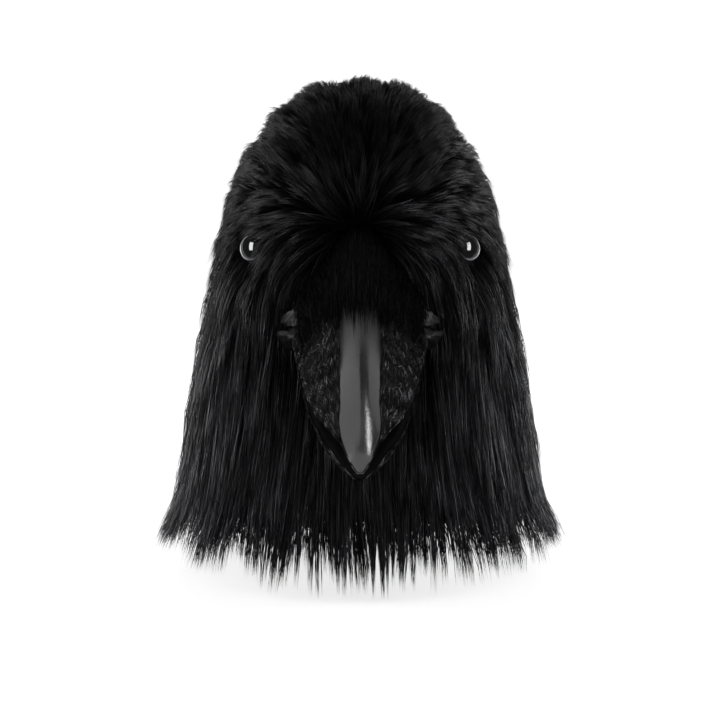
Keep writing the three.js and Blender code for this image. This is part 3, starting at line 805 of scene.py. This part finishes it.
def hem_locks():
    """The hem's locks: their azimuths, in rising order, the lowest height of each, which is higher at the
    sides and evener behind, and how tightly each draws its strands together."""
    dice = np.random.default_rng(44)
    place = np.arange(HEM_LOCKS) + dice.uniform(-0.42, 0.42, HEM_LOCKS)
    azimuth = place / HEM_LOCKS * 2 * pi - pi
    side = smoothstep(np.abs(np.sin(azimuth)), 0.5, 1)
    above_base = dice.beta(0.8, 1.8, HEM_LOCKS) * 36
    above_base = np.where(np.cos(azimuth) > 0.25, above_base, np.minimum(above_base, 15))
    return azimuth, 0.6 + 13 * side + above_base, dice.uniform(0.15, 0.8, HEM_LOCKS)


def nearest_lock(azimuth, locks):
    """The index of the lock whose azimuth is nearest, by the middles between neighbours."""
    return np.searchsorted((locks[1:] + locks[:-1]) / 2, azimuth)


def gathered(centres):
    """Strands drawn to the hem's locks: below the hem's top each turns about the head's axis towards the
    lock nearest to its end, more the lower it is, and at the sides it flares by a random share."""
    locks, _, tightness = hem_locks()
    azimuth = azimuth_of(centres)
    own = nearest_lock(azimuth[..., -1:], locks)
    low = smoothstep(HEM_TOP - centres[..., 2], 0, 60)
    azimuth = azimuth + (locks[own] - azimuth) * tightness[own] * low * (np.abs(locks[own] - azimuth) < 0.3)
    level = np.hypot(centres[..., 0], centres[..., 1])
    flare = np.random.default_rng(45).uniform(-0.4, 1.8, azimuth.shape[:-1] + (1,))
    level = level + HEM_FLARE * flare * low * smoothstep(np.abs(np.sin(azimuth)), 0.6, 1)
    return np.stack([level * np.sin(azimuth), -level * np.cos(azimuth), centres[..., 2]], -1)


def pile(starts, lengths, tip_height, strands, stations, width, spread, clump, settle, seed, lowest=None):
    """Strands in wisps: several to a guide, side by side at the coat and drawn together towards the end.
    They rise from the root to the tip height, settle a little and sway, and end a random few mm above the
    lowest height at their azimuth. Returns centres, normals, widths and tones."""
    dice = np.random.default_rng(seed)
    steps = 16
    trail, normals, ways = guides(starts, lengths * 1.12, steps)
    count = len(starts)
    shape = (count, strands, 1)
    end = (steps - 1) * dice.uniform(0.78, 1.0, shape)
    begin = (steps - 1) * dice.uniform(0, 0.14, shape)
    if lowest is not None:
        floor = lowest(azimuth_of(trail[:, -1]))[:, None, None] + dice.exponential(HEM_RAGGED, shape)
        above = (trail[:, None, :, 2] + CENTRE[2]) > floor
        rung = np.clip(above.sum(-1), 1, steps - 1)
        g = np.arange(count)[:, None]
        high, low = trail[g, rung - 1, 2] + CENTRE[2], trail[g, rung, 2] + CENTRE[2]
        cross = rung - 1 + np.clip((high - floor[..., 0]) / np.maximum(high - low, 1e-3), 0, 1)
        end = np.where(above.all(-1, keepdims=True), end, np.minimum(end, cross[..., None]))
    s = np.linspace(0, 1, stations)[None, None, :]
    at = np.clip(begin + np.maximum(end - begin, 1.0) * s, 0, steps - 1)
    point, normal, way = (between(rows[:, None], at) for rows in (trail, normals, ways))
    aside = unit(np.cross(normal, way))
    tops = tip_height[:, None, None] + dice.normal(0, 1.2, shape)
    rise = (tops + ROOT_DEPTH) * (1 - (1 - s) ** 2.2) - ROOT_DEPTH - settle * s**3
    offset = dice.uniform(-1, 1, shape) * spread
    draw = clump * dice.uniform(0.7, 1.0, (count, 1, 1))
    phase, turns = dice.uniform(0, 2 * pi, shape), dice.uniform(0.5, 1.3, shape)
    sway = np.sin(phase + 2 * pi * turns * s) * dice.uniform(0.2, 1.0, shape) * s * spread * 0.35
    gather = offset * (1 - draw * s**0.9) + sway
    centres = point + normal * rise[..., None] + aside * gather[..., None] + CENTRE
    facing = unit(normal + aside * dice.normal(0, 0.5, shape)[..., None])
    widths = width * dice.uniform(0.75, 1.25, shape)
    taper = np.array([1.0, 1.0, 0.72, 0.6])[: stations - 1] if stations > 3 else np.array([1.0, 0.8])
    tone = np.clip(dice.beta(1.6, 3.0, shape[:2]) + dice.normal(0, 0.12, (count, 1)), 0, 1)
    # Each strand's tone is scaled by the painted light and shade of its place
    return centres, facing, widths * taper, tone * shade(starts)[:, None]


def dressed(strands, material, node, stem, parts):
    """Pieces of the strands that keep clear of the eyes, beak, lips and floor: a left and a right one for
    each part, which is front, back or the whole."""
    centres, left = cut_at_eyes(strands[0])
    stay = (left >= SHORTEST_LEFT) & (centres[..., 2].min(-1) >= FLOOR_CLEARANCE)
    stay &= ~(in_beak(centres[:, :, :2], 1).any(-1) | in_lips(centres, -1.5).any(-1))
    strands = [values[stay] for values in (centres, *strands[1:])]
    on_left, front = strands[0][:, 0, 0] > 0, strands[0][:, 0, 1] < 0
    in_part = {"front_": front, "back_": ~front, "": front | ~front}
    pieces = []
    for part in parts:
        for side_name, side in (("left", on_left), ("right", ~on_left)):
            picked = [values[side & in_part[part]] for values in strands]
            pieces.append(strand_piece(f"{stem}_{part}{side_name}", picked, material, node))
    return pieces


def undercoat(name, low, high, rows, columns, node):
    """A closed wall of dark wool and painted shade below the coat, from one elevation line up to another."""
    azimuth = np.linspace(0, 2 * pi, columns, endpoint=False)
    lower, upper = low(azimuth), high(azimuth)
    share = np.linspace(0, 1, rows)[:, None]
    elevation = lower + (upper - lower) * share
    point, normal = coat_frame(toward(azimuth[None, :] + 0 * elevation, elevation))
    ends = np.sin(pi * np.clip(share * 12, 0, 0.5)) * np.sin(pi * np.clip((1 - share) * 12, 0, 0.5))
    middle = (WOOL_OUTSIDE + WOOL_INSIDE) / 2
    outer, inner = (point - normal * (middle + (depth - middle) * (0.3 + 0.7 * ends))[..., None]
                    for depth in (WOOL_OUTSIDE, WOOL_INSIDE))
    rings = np.concatenate([outer, inner[::-1]]) + CENTRE
    return ringed_piece(name, rings, undercoat_wool_and_shade, node, looped_rows=True)


def crown_coat():
    """The short pile over the forehead, brow and crown, in two pieces that meet over the middle."""
    wool = undercoat("crown_undercoat", lambda a: parting(a) + 0.01, lambda a: a * 0 + radians(89.4),
                     26, 96, "crown_fur")
    starts = spread_directions(2300, 3, lambda d: above_parting(d) > -0.01)
    dice = np.random.default_rng(31)
    lengths = dice.uniform(32, 50, len(starts))
    tips = crown_relief(starts) + brow_proud(starts) + 0.8 + dice.normal(0, 1.0, len(starts))
    strands = pile(starts, lengths, tips, strands=11, stations=3, width=0.72, spread=4.8, clump=0.6,
                   settle=0.8, seed=32)
    return [wool, *dressed(strands, crown_pile, "crown_fur", "crown_pile", [""])]


def mane_coat():
    """The long pile from eye level down, in four pieces round the head, with a ragged hem of wisps."""
    def wool_end(azimuth):
        return elevation_at_height(azimuth, WOOL_Z + 3 * np.sin(17 * azimuth) + 3 * np.sin(41 * azimuth + 1))

    def height_of(d):
        return CENTRE[2] + coat_distance(d) * d[..., 2]

    def in_mane(d):
        return (above_parting(d) < 0.02) & (height_of(d) > RIM_Z + 6)

    def near_hem(d):
        return in_mane(d) & (height_of(d) < RIM_Z + 40)

    def wisps(starts, lengths, seed):
        along = np.clip((300 - height_of(starts) + lengths) / 300, 0, 1)
        tips = mane_relief(starts, along) * 0.7 + 1.0 + dice.normal(0, 1.6, len(starts))
        strands = pile(starts, lengths, tips, strands=8, stations=4, width=0.82, spread=5.5, clump=0.68,
                       settle=2.2, seed=seed, lowest=lambda azimuth: lock_ends[nearest_lock(azimuth, locks)])
        return gathered(strands[0]), *strands[1:]

    wool = undercoat("mane_undercoat", wool_end, lambda a: parting(a) - 0.01, 40, 160, "mane_fur")
    locks, lock_ends, _ = hem_locks()
    dice = np.random.default_rng(41)
    starts = spread_directions(3000, 4, in_mane)
    low = smoothstep(elevation_of(starts), radians(-20), radians(26))
    body = wisps(starts, (112 - 42 * low) * dice.uniform(0.8, 1.2, len(starts)), 42)
    starts = spread_directions(420, 5, near_hem)
    hem = wisps(starts, dice.uniform(70, 125, len(starts)), 43)
    strands = [np.concatenate(pair) for pair in zip(body, hem)]
    return [wool, *dressed(strands, mane_pile, "mane_fur", "mane_pile", ["front_", "back_"])]


# Bristles

def beak_sheet(half):
    """The outside of a beak half as an even grid: rows a millimetre apart along it, and columns from one
    cutting edge over the ridge to the other."""
    fine = np.linspace(0, 0.995, 400)
    ridge, edge, _, _ = beak_lines(half, fine)
    run = np.r_[0, np.cumsum(np.linalg.norm(np.diff((ridge + edge) / 2, axis=0), axis=1))]
    along = np.interp(np.arange(0, run[-1], 1.0), run, fine)
    reach = 40
    points, normal, _ = beak_skin(half, along, np.linspace(0, 1, reach + 1), UPPER_PROUD)
    order = np.arange(-reach, reach + 1)
    return points[:, order], normal[:, order], reach


def on_sheet(sheet, row, column):
    """Values between the rows and columns of a grid."""
    r, c = (np.clip(at, 0, size - 1.001) for at, size in zip((row, column), sheet.shape))
    i, j = r.astype(int), c.astype(int)
    f, g = (r - i)[..., None], (c - j)[..., None]
    return (sheet[i, j] * (1 - f) * (1 - g) + sheet[i + 1, j] * f * (1 - g)
            + sheet[i, j + 1] * (1 - f) * g + sheet[i + 1, j + 1] * f * g)


def beak_hair(name, half, material, seed, count, rows, lengths, width, stations, lift, settled, bare,
              outermost, tones):
    """Hair along a beak half towards the tip, which curls a little across, lifts off the skin and settles
    again. Its tone is lighter in tufts and towards the tip, times one value on the ridge and another at the
    cutting edge."""
    points, normals, reach = beak_sheet(half)
    on_band = sum(place[1] == 0 for place in half["section"])
    innermost = (on_band - 1) / (len(half["section"]) - 1) * bare
    dice = np.random.default_rng(seed)
    row = dice.uniform(0, 1, count) ** 0.9 * (rows[1] - rows[0]) + rows[0]
    share = dice.uniform(0, 1, count)
    column = (innermost + (outermost - innermost) * share) * dice.choice([-1, 1], count) * reach
    length = dice.uniform(*lengths, count) * (1 - 0.35 * np.abs(column / reach))
    s = np.linspace(0, 1, stations)[None, :]
    curl = np.sin(dice.uniform(0, 2 * pi, (count, 1)) + s * dice.uniform(1.5, 4.5, (count, 1)))
    at_row = row[:, None] + length[:, None] * s
    at_column = column[:, None] + curl * dice.uniform(0.1, 0.9, (count, 1)) * s * 3.0
    place = on_sheet(points, at_row, at_column + reach)
    normal = unit(on_sheet(normals, at_row, at_column + reach))
    arch = np.sin(pi * np.clip(s * settled + 0.02, 0, 1))
    centres = place + normal * (0.1 + lift * arch * dice.uniform(0.3, 1.0, (count, 1)))[..., None]
    facing = unit(normal + 0.5 * dice.normal(size=(count, 1, 3)))
    widths = (width * dice.uniform(0.7, 1.3, count))[:, None] * np.linspace(1, 0.65, stations - 1)[None, :]
    tufts = np.clip(1 + 0.9 * ripple(on_sheet(points, row, column + reach), 9, seed + 10), 0.1, 2.6)
    tone = dice.beta(0.42, 2.9, count) * (0.75 + 0.35 * smoothstep(row, 110, 200)) * tufts
    at_edge = smoothstep(np.abs(column) / reach, 0.45, 0.95)
    tone = np.clip(tone * (tones[0] * (1 - at_edge) + tones[1] * at_edge), 0, 1)
    stay = ~in_lips(centres, 0.5).any(-1)
    return strand_piece(name, [v[stay] for v in (centres, facing, widths, tone)], material, "latex_head")


def root_hair():
    """Long dark hair over the beak's root."""
    return beak_hair("beak_root_hair", UPPER_BEAK, root_pile, seed=51, count=3000, rows=(14, 84),
                     lengths=(40, 92), width=0.75, stations=4, lift=7.0, settled=0.96, bare=0.0,
                     outermost=0.85, tones=(1.0, 2.0))


def bristles():
    """Short bristles along the beak's flanks, and fewer along the jaw."""
    short = {"lengths": (9, 16), "width": 0.6, "settled": 0.8}
    return [
        beak_hair("beak_flank_bristles", UPPER_BEAK, bristle_fibre, seed=52, count=8200, rows=(30, 236),
                  stations=4, lift=1.2, bare=1.0, outermost=1.0, tones=(0.5, 1.5), **short),
        beak_hair("jaw_bristles", JAW, bristle_fibre, seed=53, count=3600, rows=(40, 225),
                  stations=3, lift=0.8, bare=0.8, outermost=0.92, tones=(2.2, 1.0), **short),
    ]


# Stage

def facing_mask(name, data, azimuth, elevation, distance, roll=0):
    """A camera or light that looks at the mask from an azimuth and elevation, in degrees."""
    thing = bpy.data.objects.new(name, data)
    bpy.context.scene.collection.objects.link(thing)
    spot = Vector(toward(radians(azimuth), radians(elevation)) * distance) + LOOK_AT
    aim = (LOOK_AT - spot).to_track_quat("-Z", "Y")
    thing.location = spot
    thing.rotation_euler = (aim @ Quaternion((0, 0, 1), radians(roll))).to_euler()
    return thing


def stage(groups):
    """A pale floor that brightens away from the mask, soft studio lights and a white surround. Each light
    falls on the groups of pieces named beside it."""
    corners = np.array([[-1, -1, 0], [1, -1, 0], [1, 1, 0], [-1, 1, 0]]) * FLOOR_SIDE / 2 / MM
    material, tree, shader = plain_material("studio floor", grey(0.6), 0.9, Emission_Color=(1, 1, 1, 1))
    away = add_node(tree, "VectorMath")
    away.operation = "LENGTH"
    feed(away.inputs[0], add_node(tree, "TexCoord").outputs["Object"])
    glow = add_node(tree, "MapRange", Value=away.outputs["Value"], From_Min=0.3, From_Max=1.6, To_Min=0.7,
                    To_Max=1.05)
    feed(shader.inputs["Emission Strength"], glow.outputs["Result"])
    floor = new_piece("studio_floor", corners - HEAD_AXIS, np.array([[0, 1, 2, 3]]), material, smooth=False)
    floor.visible_glossy = floor.visible_diffuse = False
    groups["mane"].append(floor)
    world = bpy.context.scene.world = bpy.data.worlds.new("white surround")
    world.use_nodes = True
    background = world.node_tree.nodes["Background"]
    seen = add_node(world.node_tree, "LightPath").outputs["Is Camera Ray"]
    strength = add_node(world.node_tree, "MapRange", Value=seen, To_Min=WORLD_LIGHT, To_Max=WORLD_SEEN)
    feed(background.inputs["Color"], (1, 1, 1, 1))
    feed(background.inputs["Strength"], strength.outputs["Result"])
    for name, azimuth, elevation, distance, wide, tall, roll, brightness, falls_on in LIGHTS:
        lamp = bpy.data.lights.new(name, "AREA")
        lamp.shape = "RECTANGLE"
        lamp.size, lamp.size_y = wide, tall
        lamp.energy = brightness * pi * wide * tall
        light = facing_mask(name, lamp, azimuth, elevation, distance, roll)
        light.light_linking.receiver_collection = lit = bpy.data.collections.new(name)
        for piece in (piece for group in falls_on for piece in groups[group]):
            lit.objects.link(piece)


LOOK_AT = Vector((0, 0.072258, 0.186))
CAMERA_DISTANCE, CAMERA_ELEVATION, FOCAL_PIXELS = 1.7, 7, 1910
WORLD_LIGHT, WORLD_SEEN, FLOOR_SIDE = 0.03, 1.1, 40.0
# name, azimuth and elevation in degrees, distance, width and height in metres, roll in degrees, brightness
# and the pieces that it falls on
LIGHTS = [
    ("catch light left", 38, 11, 1.55, 0.85, 1.8, 0, 3.2, ["left glass"]),
    ("catch light right", -38, 11, 1.55, 0.85, 1.8, 0, 3.2, ["right glass"]),
    ("front fill", 0, 4, 1.9, 1.6, 0.6, 0, 1.3, ["crown", "mane", "root", "beak"]),
    ("side softbox left", 108, -1, 1.1, 1.0, 0.35, 0, 17.0, ["crown", "mane"]),
    ("side softbox right", -108, -1, 1.1, 1.0, 0.35, 0, 17.0, ["crown", "mane"]),
    ("high softbox left", 90, 48, 1.5, 1.2, 1.2, 0, 1.1, ["crown", "mane", "root"]),
    ("high softbox right", -90, 48, 1.5, 1.2, 1.2, 0, 1.1, ["crown", "mane", "root"]),
    ("back softbox", 180, 40, 1.8, 1.6, 1.0, 0, 1.3, ["crown", "mane"]),
    ("beak softbox left", 82, 44, 1.5, 1.05, 1.3, 8, 1.4, ["beak"]),
    ("beak softbox right", -64, 54, 1.5, 1.75, 1.6, -8, 1.8, ["beak"]),
    ("tip softbox", 4, 35, 1.5, 2.4, 0.7, 0, 1.7, ["beak"]),
    ("spark", 26, 52.5, 1.58, 0.13, 0.36, 16, 26.0, ["beak"]),
]


def camera():
    """The photo's view: level with the mask, looking slightly down, from far enough to flatten the beak."""
    lens = bpy.data.cameras.new("photo camera")
    lens.sensor_width = 36
    lens.lens = FOCAL_PIXELS / PHOTO_SIDE * lens.sensor_width
    bpy.context.scene.camera = facing_mask("photo camera", lens, 0, CAMERA_ELEVATION, CAMERA_DISTANCE)


camera()
beak = [
    beak_half("upper_beak", UPPER_BEAK, UPPER_PROUD, 1.0, beak_latex),
    beak_half("lower_jaw", JAW, JAW_PROUD, 0.0, jaw_latex),
    *lip_pads(),
    *bristles(),
]
domes, rims_and_highlights = eyes()
stage({
    "beak": beak,
    "left glass": domes[:1],
    "right glass": domes[1:],
    "crown": crown_coat() + rims_and_highlights,
    "mane": mane_coat() + [moulding()],
    "root": [root_hair()],
})

bpy.context.scene.view_settings.view_transform = "Standard"
